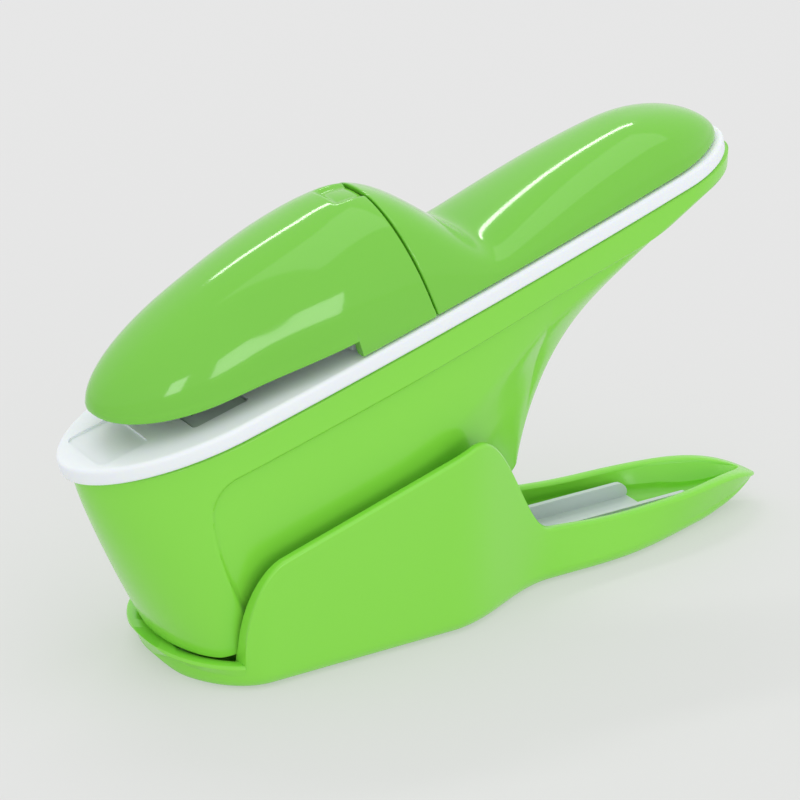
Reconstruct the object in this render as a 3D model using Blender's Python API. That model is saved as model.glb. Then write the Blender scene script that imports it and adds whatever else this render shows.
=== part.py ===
"""Hand-squeeze staple-free stapler: a fixed upper jaw over a table plate, a hull-shaped housing
under the plate, and a boat-shaped squeeze lever that drives a punch carriage up through the plate.

World axes: X from the nose to the tail, Y to the left, Z up, with Z = 0 on the table.
Deck axes: s runs along the table plate from its nose, h stands square to it, h = 0 is its top.
Sizes are in millimetres and become metres in the meshes.
"""

import math

import bpy
import bmesh
import numpy as np
from mathutils import Vector

MM = 0.001
GAP = 0.3                 # between pieces that touch

# Table plate
DECK_TILT = math.radians(15.3)
DECK_NOSE_X = -57.2
DECK_NOSE_Z = 32.4
DECK_LENGTH = 110.2
DECK_THICKNESS = 2.5
DECK_HALF_WIDTH = 12.8
DECK_NOSE_LENGTH = 21.4
DECK_NOSE_POWER = 1.92
DECK_TAIL_LENGTH = 11.0
DECK_TAPER = 5.2          # half-width lost between the nose and the tail

# Jaw and covers
SHELL_WALL = 1.6
SLOT_HEIGHT = 2.7
SLOT_FLARE = 2.4
SLOT_FLARE_LENGTH = 15.0
THROAT_S = 41.0
HEAD_NOSE_S = 6.2
HEAD_CREST_S = 47.5
HEAD_CREST_H = 18.4
HEAD_INSET = 2.2
HEAD_BOW_POWER = 1.8
HEAD_FALL = 23.0          # how far behind its crest the head's line reaches the plate
SEAM_S = 53.4
SEAM_LEAN = 0.1
PALM_CREST_S = 94.0
PALM_CREST_H = 8.4
PALM_START_S = 58.0
PALM_START_H = 3.2
COVER_TAIL_S = 108.8
COVER_TAIL_LENGTH = 14.0
HEAD_SECTION_POWER = 2.2
PALM_SECTION_POWER = 2.3

# Lower housing
HULL_WALL = 1.6
HULL_HALF_WIDTH = 12.9
HULL_FRONT_TOP_X = -55.4
HULL_FRONT_BOTTOM_X = -44.4
HULL_REAR_X = 13.5
HULL_REAR_SWEEP = 37.0
HULL_REAR_DECAY = 0.269
HULL_RIM_SHARE = 0.066
HULL_KEEL_Z = 4.1
HULL_KEEL_X = -40.0
HULL_KEEL_SLOPE = 0.2217
HULL_NOSE_RISE = 1.0
HULL_TUCK = 1.5           # how far the lower edge draws in between the lever's wings

# Squeeze lever
LEVER_TOE_X = -46.0
LEVER_TAIL_X = 59.2
LEVER_WALL = 1.5
LEVER_FLOOR = 2.2
LEVER_CORNER = 2.2        # radius of the lower edge
TOE_LENGTH = 11.0
TOE_RAKE = 1.4            # how far the toe's foot stands behind its lip
WING_HALF_WIDTH = 16.0
TAIL_HALF_WIDTH = 9.4
TAIL_TUMBLEHOME = 1.1     # how far the tail's rim leans in behind the wings
TAIL_FLARE = 1.9          # how far the tail's foot draws in towards the tip
WING_FRONT_X = -38.2
WING_FRONT_Z = 16.8
WING_SLOPE = 0.30
EAR_X = -2.0
EAR_LENGTH = 18.0
LIP_Z = 3.8
TIP_Z = 4.05

# Pivots and drive
PIVOT = (-38.5, 8.2)
ROCKER_PIVOT = (-1.0, 20.56)
PUNCH_S = 21.0
CARRIAGE_FOOT_H = -24.0
CARRIAGE_TOP_H = -11.0
ROLLER_CENTRE = (-20.5, 9.85)
ROLLER_RADIUS = 3.0
HEAD_CORE_TOP_H = 10.4
TUCKER_PIVOT_SH = (25.6, 7.6)
CORE_SCREW = (46.0, 3.2)
COVER_SCREW_S = 84.0
CHANNEL_SCREWS_X = (-8.0, 6.0)

COLOURS = {
    "jaw_green": ((0.19, 0.56, 0.07), 0.12, 0.0),
    "body_green": ((0.30, 0.75, 0.12), 0.28, 0.0),
    "plate_white": ((0.86, 0.89, 0.93), 0.35, 0.0),
    "core_grey": ((0.62, 0.70, 0.70), 0.45, 0.0),
    "pressed_steel": ((0.52, 0.55, 0.56), 0.35, 0.9),
    "tool_steel": ((0.40, 0.41, 0.43), 0.25, 1.0),
    "pin_steel": ((0.60, 0.60, 0.62), 0.22, 1.0),
}


# ---------------------------------------------------------------- shape formulas


def closing(share, power):
    """Width share of an outline that closes like a superellipse, 0 at share 0 and 1 from share 1."""
    share = np.clip(share, 0.0, 1.0)
    return (1.0 - (1.0 - share) ** power) ** (1.0 / power)


def easing(share):
    """Smooth step from 0 to 1."""
    share = np.clip(share, 0.0, 1.0)
    return share * share * (3.0 - 2.0 * share)


def end_spaced(low, high, count):
    """Stations from low to high, closer together towards both ends."""
    turn = np.linspace(0.0, math.pi, count + 1)
    return low + (high - low) * (1.0 - np.cos(turn)) / 2.0


def deck_to_world(s, y, h):
    """World millimetres of a point given in deck axes."""
    c, n = math.cos(DECK_TILT), math.sin(DECK_TILT)
    return np.stack(np.broadcast_arrays(DECK_NOSE_X + s * c - h * n, y, DECK_NOSE_Z + s * n + h * c), -1)


def deck_z(x, h):
    """World height, above a world x, of the plane at height h over the plate."""
    return DECK_NOSE_Z + (x - DECK_NOSE_X) * math.tan(DECK_TILT) + h / math.cos(DECK_TILT)


def deck_taper(s):
    """Half-width of the plate without its rounded ends."""
    share = np.clip((s - DECK_NOSE_LENGTH) / (DECK_LENGTH - DECK_NOSE_LENGTH), 0.0, 1.0)
    return DECK_HALF_WIDTH - DECK_TAPER * share ** 2


def deck_half_width(s, inset=0.0):
    """Half-width of the plate, or of the same outline drawn inset all round."""
    nose = closing((s - inset) / DECK_NOSE_LENGTH, DECK_NOSE_POWER)
    tail = closing((DECK_LENGTH - inset - s) / DECK_TAIL_LENGTH, 2.0)
    return (deck_taper(s) - inset) * nose * tail


def jaw_rim(s):
    """Height of the upper jaw's lower edge: flared at the nose, level over the slot, down at the throat."""
    flare = SLOT_FLARE * (1.0 - closing((s - HEAD_NOSE_S) / SLOT_FLARE_LENGTH, 2.0))
    slot = SLOT_HEIGHT + flare
    return np.where(s < THROAT_S, slot, GAP)


def head_crest(s):
    """Height of the head's ridge: a superelliptical bow, then an eased fall behind the crest."""
    bow = closing((s - HEAD_NOSE_S) / (HEAD_CREST_S - HEAD_NOSE_S), HEAD_BOW_POWER)
    nose_h = SLOT_HEIGHT + SLOT_FLARE
    fall = 1.0 - easing((np.clip(s - HEAD_CREST_S, 0.0, None) / HEAD_FALL) ** 1.5)
    return (nose_h + (HEAD_CREST_H - nose_h) * bow) * fall


def palm_crest(s):
    """Height of the palm bulge's ridge, a quarter sine from the saddle to its crest."""
    swell = np.sin(math.pi / 2.0 * np.clip((s - PALM_START_S) / (PALM_CREST_S - PALM_START_S), 0.0, 1.0))
    return PALM_START_H + (PALM_CREST_H - PALM_START_H) * swell


def rear_crest(s):
    """Ridge of the rear cover: the head's fall blended into the palm bulge, closed at the tail."""
    blend = np.logaddexp(0.8 * head_crest(s), 0.8 * palm_crest(s)) / 0.8
    return blend * closing((COVER_TAIL_S - s) / (COVER_TAIL_S - PALM_CREST_S), 1.9)


def head_half_width(s):
    """Half-width of the head, set in over the slot and flush with the plate behind the throat."""
    flush = deck_taper(s) - GAP
    inset = HEAD_INSET * (1.0 - easing((s - 22.0) / 20.0))
    return (flush - inset) * closing((s - HEAD_NOSE_S) / 19.0, 2.0)


def rear_half_width(s):
    """Half-width of the rear cover, flush with the plate up to its rounded tail."""
    return (deck_taper(s) - GAP) * closing((COVER_TAIL_S - s) / COVER_TAIL_LENGTH, 2.0)


def hull_front(v):
    """World x of the housing's stem at depth share v."""
    return HULL_FRONT_TOP_X + (HULL_FRONT_BOTTOM_X - HULL_FRONT_TOP_X) * v ** 1.5


def hull_rear(v):
    """World x of the housing's rear edge: it sweeps forward under the tail as an exponential."""
    drop = np.clip(v - HULL_RIM_SHARE, 0.0, None)
    return HULL_REAR_X + HULL_REAR_SWEEP * np.exp(-drop / HULL_REAR_DECAY)


def hull_keel(x):
    """Height of the housing's lower edge: it climbs to the rear and turns up at the stem."""
    climb = np.clip(x - HULL_KEEL_X, 0.0, None) * HULL_KEEL_SLOPE
    stem = HULL_NOSE_RISE * (np.clip(HULL_KEEL_X - x, 0.0, None) / 8.0) ** 3
    return HULL_KEEL_Z + climb + stem


def hull_half_width(x, v):
    """Half-width of the housing before its rounded ends, the plate's own at the top."""
    s = (x - DECK_NOSE_X) / math.cos(DECK_TILT)
    top = deck_taper(s) - 0.4
    body = HULL_HALF_WIDTH - 5.0 * np.clip((x + 15.0) / 30.0, 0.0, 1.0) ** 2
    tuck = HULL_TUCK * easing((v - 0.6) / 0.4) * easing((x + 42.0) / 12.0)
    return top + (body - top) * easing(v / 0.5) - tuck


def lever_waist(x):
    """Width share of the lever: full at the wings, narrow along the tail, closed at the tip."""
    waist = 1.0 - (1.0 - TAIL_HALF_WIDTH / WING_HALF_WIDTH) * easing((x + 5.0) / 21.0)
    return waist * closing((LEVER_TAIL_X - x) / 36.0, 1.7)


def lever_rim_half(x):
    """Half-width of the lever at its rim."""
    lean = TAIL_TUMBLEHOME * easing((x - 10.0) / 10.0) * (1.0 - easing((x - 30.0) / 10.0))
    return WING_HALF_WIDTH * closing((x - LEVER_TOE_X) / TOE_LENGTH, 2.0) * lever_waist(x) - lean


def lever_foot_half(x):
    """Half-width of the lever where its side meets the lower edge."""
    toe = closing((x - LEVER_TOE_X - TOE_RAKE) / (TOE_LENGTH - TOE_RAKE), 2.0)
    foot = WING_HALF_WIDTH * toe * lever_waist(x) - TAIL_FLARE * easing((x - 34.0) / 14.0)
    return np.clip(foot, 0.0, None)


def tail_rim(x):
    """Rim height of the tail trough: a shallow sheer line that drops to the tip."""
    fore = 7.15 + 1.3 * (np.clip(32.0 - x, 0.0, None) / 16.0) ** 2
    return fore - (7.15 - TIP_Z) * (np.clip(x - 44.0, 0.0, None) / (LEVER_TAIL_X - 44.0)) ** 3


def lever_rim(x):
    """Rim height of the lever: toe lip, wings, ear, then the tail's sheer line."""
    wing = WING_FRONT_Z + WING_SLOPE * (x - WING_FRONT_X)
    rise = closing((x - WING_FRONT_X) / 6.0, 2.2)
    fall = easing((x - EAR_X) / EAR_LENGTH)
    tail = tail_rim(np.clip(x, EAR_X, None))
    return np.where(x < EAR_X, LIP_Z + (wing - LIP_Z) * rise, wing + (tail - wing) * fall)


def lever_keel(x):
    """Underside height: flat, turned up to the lip at the toe and to the tip at the tail."""
    toe = LIP_Z * (np.clip(LEVER_TOE_X + 3.0 - x, 0.0, None) / 3.0) ** 2
    return toe + TIP_Z * (np.clip(x - 46.0, 0.0, None) / (LEVER_TAIL_X - 46.0)) ** 2.2


# ---------------------------------------------------------------- mesh helpers


def clear_scene():
    """Remove whatever the scene holds."""
    for item in list(bpy.data.objects):
        bpy.data.objects.remove(item, do_unlink=True)


def material(slot):
    """The named finish as a Principled material, made once."""
    found = bpy.data.materials.get(slot)
    if found:
        return found
    colour, roughness, metallic = COLOURS[slot]
    made = bpy.data.materials.new(slot)
    made.use_nodes = True
    shader = made.node_tree.nodes["Principled BSDF"]
    shader.inputs["Base Color"].default_value = (*colour, 1.0)
    shader.inputs["Roughness"].default_value = roughness
    shader.inputs["Metallic"].default_value = metallic
    return made


def add_object(name, mesh, slot, smooth=False):
    """Link a mesh as a named object with its finish."""
    mesh.materials.append(material(slot))
    if smooth:
        mesh.shade_smooth()
        mesh.set_sharp_from_angle(angle=math.radians(35.0))
    made = bpy.data.objects.new(name, mesh)
    bpy.context.scene.collection.objects.link(made)
    return made


def mesh_from(name, points, faces):
    """Mesh from millimetre points, with doubles merged and faces turned outwards."""
    mesh = bpy.data.meshes.new(name)
    mesh.from_pydata([Vector(p) * MM for p in points], [], faces)
    work = bmesh.new()
    work.from_mesh(mesh)
    bmesh.ops.remove_doubles(work, verts=work.verts, dist=1e-6)
    bmesh.ops.dissolve_degenerate(work, edges=work.edges, dist=1e-6)
    bmesh.ops.recalc_face_normals(work, faces=work.faces)
    work.to_mesh(mesh)
    work.free()
    return mesh


def grid_faces(rows, columns, start, closed):
    """Quads of a grid of points; closed joins the last column to the first."""
    last = columns if closed else columns - 1
    faces = []
    for i in range(rows - 1):
        for j in range(last):
            k = (j + 1) % columns
            a = start + i * columns
            b = a + columns
            faces.append((a + j, a + k, b + k, b + j))
    return faces


def walled_shell(name, outer, inner, slot, closed=False):
    """A thin wall between two grids of the same size, joined round their borders."""
    rows, columns = outer.shape[:2]
    count = rows * columns
    points = np.concatenate([outer.reshape(-1, 3), inner.reshape(-1, 3)])
    faces = grid_faces(rows, columns, 0, closed) + grid_faces(rows, columns, count, closed)
    last = columns if closed else columns - 1
    for j in range(last):
        k = (j + 1) % columns
        for row in (0, rows - 1):
            a = row * columns
            faces.append((a + j, a + k, count + a + k, count + a + j))
    if not closed:
        for i in range(rows - 1):
            for column in (0, columns - 1):
                a = i * columns + column
                b = a + columns
                faces.append((a, b, count + b, count + a))
    return add_object(name, mesh_from(name, points, faces), slot, smooth=True)


def prism(name, outline, offset, slot):
    """Closed outline of points, extruded by the vector offset."""
    low = np.asarray(outline, float)
    high = low + np.asarray(offset, float)
    count = len(low)
    faces = [tuple(range(count)), tuple(range(count, 2 * count))]
    for i in range(count):
        k = (i + 1) % count
        faces.append((i, k, count + k, count + i))
    return add_object(name, mesh_from(name, np.concatenate([low, high]), faces), slot)


def side_prism(name, profile, half_width, slot, centre_y=0.0):
    """World x-z outline, extruded across the object."""
    outline = [(x, centre_y - half_width, z) for x, z in profile]
    return prism(name, outline, (0.0, 2.0 * half_width, 0.0), slot)


def deck_prism(name, profile, half_width, slot, centre_y=0.0):
    """Deck s-h outline, extruded across the object."""
    points = [tuple(deck_to_world(s, 0.0, h)) for s, h in profile]
    return side_prism(name, [(p[0], p[2]) for p in points], half_width, slot, centre_y)


def deck_box(name, s_range, y_range, h_range, slot):
    """Block square to the plate."""
    (s0, s1), (h0, h1) = s_range, h_range
    half = (y_range[1] - y_range[0]) / 2.0
    profile = [(s0, h0), (s1, h0), (s1, h1), (s0, h1)]
    return deck_prism(name, profile, half, slot, centre_y=y_range[0] + half)


def turned(name, base, axis, steps, slot, sides=24):
    """Round piece from (distance along the axis, radius) steps, closed by flat ends."""
    frame = Vector(axis).normalized().to_track_quat("Z", "Y").to_matrix()
    points = []
    for along, radius in steps:
        for i in range(sides):
            turn = 2.0 * math.pi * i / sides
            local = Vector((radius * math.cos(turn), radius * math.sin(turn), along))
            points.append(tuple(Vector(base) + frame @ local))
    faces = grid_faces(len(steps), sides, 0, True)
    faces.append(tuple(range(sides)))
    faces.append(tuple(range((len(steps) - 1) * sides, len(steps) * sides)))
    return add_object(name, mesh_from(name, points, faces), slot, smooth=True)


def deck_normal():
    """World direction square to the plate, upwards."""
    return (-math.sin(DECK_TILT), 0.0, math.cos(DECK_TILT))


def deck_rod(name, s, y, h0, h1, radius, slot, sides=16):
    """Plain round rod square to the plate."""
    base = tuple(deck_to_world(s, y, h0))
    return turned(name, base, deck_normal(), [(0.0, radius), (h1 - h0, radius)], slot, sides)


def cross_pin(name, x, z, half_length, radius, slot, sides=20):
    """Plain round pin across the object."""
    steps = [(0.0, radius), (2.0 * half_length, radius)]
    return turned(name, (x, -half_length, z), (0.0, 1.0, 0.0), steps, slot, sides)


def combine(target, other, operation):
    """Apply a Boolean of a helper object to the target and drop the helper."""
    other.hide_render = True
    other.display_type = "WIRE"
    step = target.modifiers.new(operation.lower(), "BOOLEAN")
    step.operation = operation
    step.object = other
    step.solver = "EXACT"
    bpy.context.view_layer.update()
    done = bpy.data.meshes.new_from_object(target.evaluated_get(bpy.context.evaluated_depsgraph_get()))
    target.modifiers.remove(step)
    target.data = done
    bpy.data.objects.remove(other, do_unlink=True)
    return target


def cut(target, *cutters):
    """Take each cutter out of the target."""
    for cutter in cutters:
        combine(target, cutter, "DIFFERENCE")
    return target


def join(target, *others):
    """Weld other solids onto the target."""
    for other in others:
        combine(target, other, "UNION")
    return target


def arc(centre, radius, start_deg, end_deg, count):
    """Points along an arc, both ends included."""
    turns = np.radians(np.linspace(start_deg, end_deg, count + 1))
    return [(centre[0] + radius * math.cos(t), centre[1] + radius * math.sin(t)) for t in turns]


# ---------------------------------------------------------------- upper jaw and covers


def dome(s_stations, half_width, rim, crest, power, across, lean=0.0):
    """Grid over a cover: each row runs from the near rim over the ridge to the far rim."""
    turn = np.linspace(0.0, math.pi, across + 1)
    side = np.sign(np.cos(turn)) * np.abs(np.cos(turn)) ** (2.0 / power)
    lift = np.abs(np.sin(turn)) ** (2.0 / power)
    s = s_stations[:, None]
    y = -half_width[:, None] * side[None, :]
    h = rim[:, None] + (crest - rim)[:, None] * lift[None, :]
    return deck_to_world(s - lean * h * (s > THROAT_S), y, h)


def head_stations(low, high):
    """Stations of the head, with a short step at the throat."""
    bow = low + (THROAT_S - 0.2 - low) * (1.0 - np.cos(np.linspace(0.0, math.pi / 2.0, 13)))
    tail = np.linspace(THROAT_S + 0.2, high, 4)
    return np.concatenate([bow, tail])


def make_head_cover():
    """Bullet-shaped cover of the upper jaw."""
    across = 14
    outer_s = head_stations(HEAD_NOSE_S, SEAM_S)
    inner_s = head_stations(HEAD_NOSE_S + SHELL_WALL, SEAM_S)
    outer = dome(outer_s, head_half_width(outer_s), jaw_rim(outer_s), head_crest(outer_s),
                 HEAD_SECTION_POWER, across, SEAM_LEAN)
    width = np.clip(head_half_width(inner_s - SHELL_WALL * 0.8) - SHELL_WALL, 0.0, None)
    rim = jaw_rim(inner_s)
    crest = np.maximum(head_crest(inner_s - SHELL_WALL * 0.8) - SHELL_WALL, rim)
    inner = dome(inner_s, width, rim, crest, HEAD_SECTION_POWER, across, SEAM_LEAN)
    return walled_shell("head_cover", outer, inner, "jaw_green")


def make_rear_cover():
    """Saddle and palm bulge, with a screw boss inside."""
    across = 14
    outer_s = SEAM_S + 0.4 + end_spaced(0.0, COVER_TAIL_S - SEAM_S - 0.4, 22)
    inner_s = SEAM_S + 0.4 + end_spaced(0.0, COVER_TAIL_S - SHELL_WALL - SEAM_S - 0.4, 22)
    rim_out = np.full_like(outer_s, GAP)
    rim_in = np.full_like(inner_s, GAP)
    outer = dome(outer_s, rear_half_width(outer_s), rim_out, np.maximum(rear_crest(outer_s), rim_out),
                 PALM_SECTION_POWER, across, SEAM_LEAN)
    stretch = (outer_s[-1] - outer_s[0]) / (inner_s[-1] - inner_s[0])
    source = outer_s[0] + (inner_s - inner_s[0]) * stretch
    width = np.maximum(rear_half_width(source) - SHELL_WALL, 0.4 * rear_half_width(source))
    crest = np.maximum(rear_crest(source) - SHELL_WALL, rim_in + 0.3 * (rear_crest(source) - rim_in))
    inner = dome(inner_s, width, rim_in, np.maximum(crest, rim_in), PALM_SECTION_POWER, across, SEAM_LEAN)
    cover = walled_shell("rear_cover", outer, inner, "jaw_green")
    join(cover, deck_rod("boss", COVER_SCREW_S, 0.0, GAP, 7.2, 2.8, "jaw_green"))
    return cut(cover, deck_rod("bore", COVER_SCREW_S, 0.0, -1.0, 5.0, 1.3, "jaw_green"))


def plate_outline(inset):
    """Plan points of the plate in deck axes, near side first."""
    s = end_spaced(inset, DECK_LENGTH - inset, 34)
    half = deck_half_width(s, inset)
    near = [(a, -b) for a, b in zip(s, half)]
    far = [(a, b) for a, b in zip(s[-2:0:-1], half[-2:0:-1])]
    return near + far


def make_table_plate():
    """White plate from nose to tail, with the punch opening and its screw holes."""
    outline = [tuple(deck_to_world(s, y, -DECK_THICKNESS)) for s, y in plate_outline(0.0)]
    plate = prism("table_plate", outline, np.array(deck_normal()) * DECK_THICKNESS, "plate_white")
    cut(plate, deck_box("opening", (16.6, 25.4), (-7.6, 7.6), (-4.0, 1.0), "plate_white"))
    core_s, core_y = CORE_SCREW
    for s, y in ((core_s, -core_y), (core_s, core_y), (COVER_SCREW_S, 0.0)):
        cut(plate, deck_rod("hole", s, y, -4.0, 1.0, 1.7, "plate_white"))
    return plate


def make_punch_guide():
    """Insert in the plate's opening that guides the cutters."""
    guide = deck_box("punch_guide", (16.9, 25.1), (-7.3, 7.3), (-DECK_THICKNESS, -GAP), "core_grey")
    return cut(guide, deck_box("window", (18.2, 24.2), (-3.9, 3.9), (-4.0, 1.0), "core_grey"))


def make_head_core():
    """Block inside the jaw: solid behind the throat, a hollow beam over the slot."""
    top = HEAD_CORE_TOP_H
    profile = [(14.4, 3.3), (40.6, 3.3), (41.4, GAP), (51.0, GAP), (51.0, top), (24.0, top),
               (18.0, 8.2), (14.4, 5.2)]
    core = deck_prism("head_core", profile, 6.0, "core_grey")
    join(core, deck_box("throat", (40.9, 50.6), (-9.4, 9.4), (GAP, 6.0), "core_grey"))
    cut(core, deck_box("tuck_room", (22.0, 30.4), (-4.6, 4.6), (1.0, 9.4), "core_grey"))
    cut(core, deck_box("tuck_nose", (18.6, 22.4), (-4.6, 4.6), (1.0, 7.6), "core_grey"))
    cut(core, deck_box("die_seat", (15.4, 30.0), (-8.0, 8.0), (1.0, 5.1), "core_grey"))
    for y in (-CORE_SCREW[1], CORE_SCREW[1]):
        cut(core, deck_rod("hole", CORE_SCREW[0], y, -1.0, 8.0, 1.3, "core_grey"))
    pivot = deck_to_world(TUCKER_PIVOT_SH[0], 0.0, TUCKER_PIVOT_SH[1])
    return cut(core, cross_pin("bore", pivot[0], pivot[2], 6.4, 1.3, "core_grey"))


def make_die_plate():
    """Steel die that the punch enters."""
    die = deck_box("die_plate", (15.7, 29.7), (-5.8, 5.8), (3.3, 4.8), "tool_steel")
    return cut(die, deck_box("window", (18.0, 24.6), (-3.9, 3.9), (2.0, 6.0), "tool_steel"))


def make_tucker():
    """Finger that folds the paper tongue, on its pin."""
    s0, h0 = TUCKER_PIVOT_SH
    profile = arc((s0, h0), 1.6, -60.0, 120.0, 8) + [(21.8, 7.3), (19.4, 6.4), (20.2, 5.8), (23.4, 6.2)]
    finger = deck_prism("tucker_finger", profile, 3.0, "pressed_steel")
    pivot = deck_to_world(s0, 0.0, h0)
    cut(finger, cross_pin("bore", pivot[0], pivot[2], 5.0, 1.05, "pressed_steel"))
    pin = cross_pin("tucker_pin", pivot[0], pivot[2], 5.8, 1.0, "pin_steel", 16)
    return finger, pin


def make_cover_catch():
    """Spring leaf on the core that holds the head cover shut."""
    base = HEAD_CORE_TOP_H + GAP
    profile = [(30.0, base), (40.0, base), (44.0, base + 1.6), (46.0, base + 0.6), (46.4, base + 1.0),
               (44.2, base + 2.3), (39.8, base + 0.6), (30.0, base + 0.6)]
    return deck_prism("cover_catch", profile, 3.0, "pressed_steel")


# ---------------------------------------------------------------- lower housing and drive


def hull_grid(wall, levels, along):
    """Grid round the housing, from the plate down; wall draws it inside by that much."""
    v = np.concatenate([[0.0, 0.03, HULL_RIM_SHARE], np.linspace(HULL_RIM_SHARE, 1.0, levels)[1:]])[:, None]
    turn = np.linspace(0.0, math.pi, along + 1)
    share = (1.0 - np.cos(turn)) / 2.0
    share = np.concatenate([share, share[-2:0:-1]])[None, :]
    side = np.concatenate([-np.ones(along + 1), np.ones(along - 1)])[None, :]
    low, high = hull_front(v) + wall, hull_rear(v) - wall
    x = low + (high - low) * share
    nose_length = 20.6 - 12.6 * v ** 1.2
    tail_length = 11.0 + 19.0 * easing(v / 0.5)
    ends = closing((x - low) / nose_length, 2.0) * closing((high - x) / tail_length, 2.0)
    y = side * (hull_half_width(x, v) - wall) * ends
    top = deck_z(x, -DECK_THICKNESS - GAP)
    z = top + (hull_keel(x) - top) * v
    return np.stack(np.broadcast_arrays(x, y, z), -1)


def make_lower_housing():
    """Hull-shaped housing, open at the top under the plate and at the bottom over the lever."""
    return walled_shell("lower_housing", hull_grid(0.0, 11, 18), hull_grid(HULL_WALL, 11, 18),
                        "body_green", closed=True)


def make_mechanism_frame():
    """Pressed frame under the plate: flange, and two cheeks that hold the pivots."""
    top, low = -DECK_THICKNESS - GAP, -DECK_THICKNESS - GAP - 1.6
    frame = deck_box("mechanism_frame", (12.0, 62.0), (-7.2, 7.2), (low, top), "pressed_steel")
    pivot_s, pivot_h = world_to_deck(*PIVOT)
    rocker_s, rocker_h = world_to_deck(*ROCKER_PIVOT)
    cheek = [(12.0, top), (62.0, top), (56.0, -20.0)]
    cheek += arc((rocker_s, rocker_h), 3.0, 20.0, -110.0, 8)
    cheek += [(30.0, -12.0)]
    cheek += arc((pivot_s, pivot_h), 2.9, 20.0, -160.0, 10)
    cheek += [(12.0, -9.0)]
    for y in (-6.6, 6.6):
        join(frame, deck_prism("cheek", cheek, 0.6, "pressed_steel", centre_y=y))
    cut(frame, cross_pin("bore", *PIVOT, 12.0, 2.05, "pressed_steel"))
    cut(frame, cross_pin("bore", *ROCKER_PIVOT, 12.0, 1.55, "pressed_steel"))
    cut(frame, deck_box("window", (17.6, 24.8), (-4.6, 4.6), (-6.0, 0.0), "pressed_steel"))
    for y in (-CORE_SCREW[1], CORE_SCREW[1]):
        cut(frame, deck_rod("hole", CORE_SCREW[0], y, -6.0, 0.0, 1.7, "pressed_steel"))
    return frame


def world_to_deck(x, z):
    """Deck s and h of a world point."""
    dx, dz = x - DECK_NOSE_X, z - DECK_NOSE_Z
    c, n = math.cos(DECK_TILT), math.sin(DECK_TILT)
    return dx * c + dz * n, -dx * n + dz * c


def make_carriage():
    """Sliding block with its two cutters."""
    front_s, rear_s = PUNCH_S - 6.4, PUNCH_S + 6.4
    block = deck_box("punch_carriage", (front_s - 1.8, rear_s + 1.8), (-5.4, 5.4),
                     (CARRIAGE_FOOT_H, CARRIAGE_TOP_H), "core_grey")
    for s in (front_s, rear_s):
        cut(block, deck_rod("bore", s, 0.0, -30.0, -5.0, 1.25, "core_grey"))
    cut(block, deck_box("punch_seat", (19.7, 23.9), (-3.6, 3.6), (-15.0, -5.0), "core_grey"))
    punch = deck_box("tongue_punch", (20.0, 23.6), (-3.3, 3.3), (-14.7, -0.8), "tool_steel")
    cut(punch, deck_box("hollow", (18.0, 22.6), (-2.3, 2.3), (-9.0, 2.0), "tool_steel"))
    knife_profile = [(18.7, -10.7), (19.3, -10.7), (19.3, -1.6), (19.0, -0.8), (18.7, -1.6)]
    knife = deck_prism("slit_knife", knife_profile, 2.6, "tool_steel")
    posts = [
        deck_rod("guide_post_front", front_s, 0.0, -18.8, -4.7, 1.2, "pin_steel"),
        deck_rod("guide_post_rear", rear_s, 0.0, -18.8, -4.7, 1.2, "pin_steel"),
    ]
    return [block, punch, knife], posts


def make_rocker():
    """Arm that carries the lever's push to the carriage."""
    s0, h0 = world_to_deck(*ROCKER_PIVOT)
    pad_s = PUNCH_S
    top, low = h0 + 1.5, h0 - 1.8
    pad_top = CARRIAGE_FOOT_H - 0.4
    profile = arc((s0, h0), 3.0, -90.0, 90.0, 8) + [(s0 - 4.0, top), (pad_s + 4.0, top)]
    profile += [(pad_s + 1.5, pad_top), (pad_s - 1.5, pad_top), (pad_s - 2.4, pad_top - 0.8)]
    profile += [(pad_s - 2.4, low + 0.6), (pad_s - 1.6, low), (s0 - 4.0, low)]
    rocker = deck_prism("drive_rocker", profile, 2.4, "pressed_steel")
    cut(rocker, cross_pin("bore", *ROCKER_PIVOT, 6.0, 1.55, "pressed_steel"))
    pin = cross_pin("rocker_pin", *ROCKER_PIVOT, 7.8, 1.5, "pin_steel")
    return rocker, pin


# ---------------------------------------------------------------- lever


def lever_grid(inside, along):
    """Grid over the lever: each row runs from the near rim under the keel to the far rim."""
    wall = LEVER_WALL if inside else 0.0
    floor = LEVER_FLOOR if inside else 0.0
    low, high = LEVER_TOE_X + wall, LEVER_TAIL_X - 1.2 * wall
    x = np.concatenate([
        end_spaced(low, WING_FRONT_X, along // 3),
        end_spaced(WING_FRONT_X, -20.0, along // 3)[1:],
        end_spaced(-20.0, high, along)[1:],
    ])
    source = LEVER_TOE_X + (LEVER_TAIL_X - LEVER_TOE_X) * (x - low) / (high - low)
    rim_half = np.clip(lever_rim_half(source) - wall, 0.0, None)
    foot_half = np.minimum(np.clip(lever_foot_half(source) - wall, 0.0, None), 1.3 * rim_half)
    rim = lever_rim(x)
    keel = np.minimum(lever_keel(source) + floor, rim)
    corner = np.minimum(np.minimum(LEVER_CORNER, 0.6 * foot_half), 0.6 * (rim - keel))
    down = np.linspace(0.0, 1.0, 6)[None, :]
    turn = np.linspace(0.0, math.pi / 2.0, 6)[None, 1:]
    flat = np.linspace(1.0, 0.0, 3)[None, 1:]
    rim_half, foot_half, rim, keel, corner = (a[:, None] for a in (rim_half, foot_half, rim, keel, corner))
    y = np.concatenate([rim_half + (foot_half - rim_half) * down,
                        foot_half - corner + corner * np.cos(turn),
                        (foot_half - corner) * flat], 1)
    z = np.concatenate([rim + (keel + corner - rim) * down,
                        keel + corner - corner * np.sin(turn),
                        keel + 0.0 * flat], 1)
    y = np.concatenate([-y, y[:, -2::-1]], 1)
    z = np.concatenate([z, z[:, -2::-1]], 1)
    return np.stack(np.broadcast_arrays(x[:, None], y, z), -1)


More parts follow.
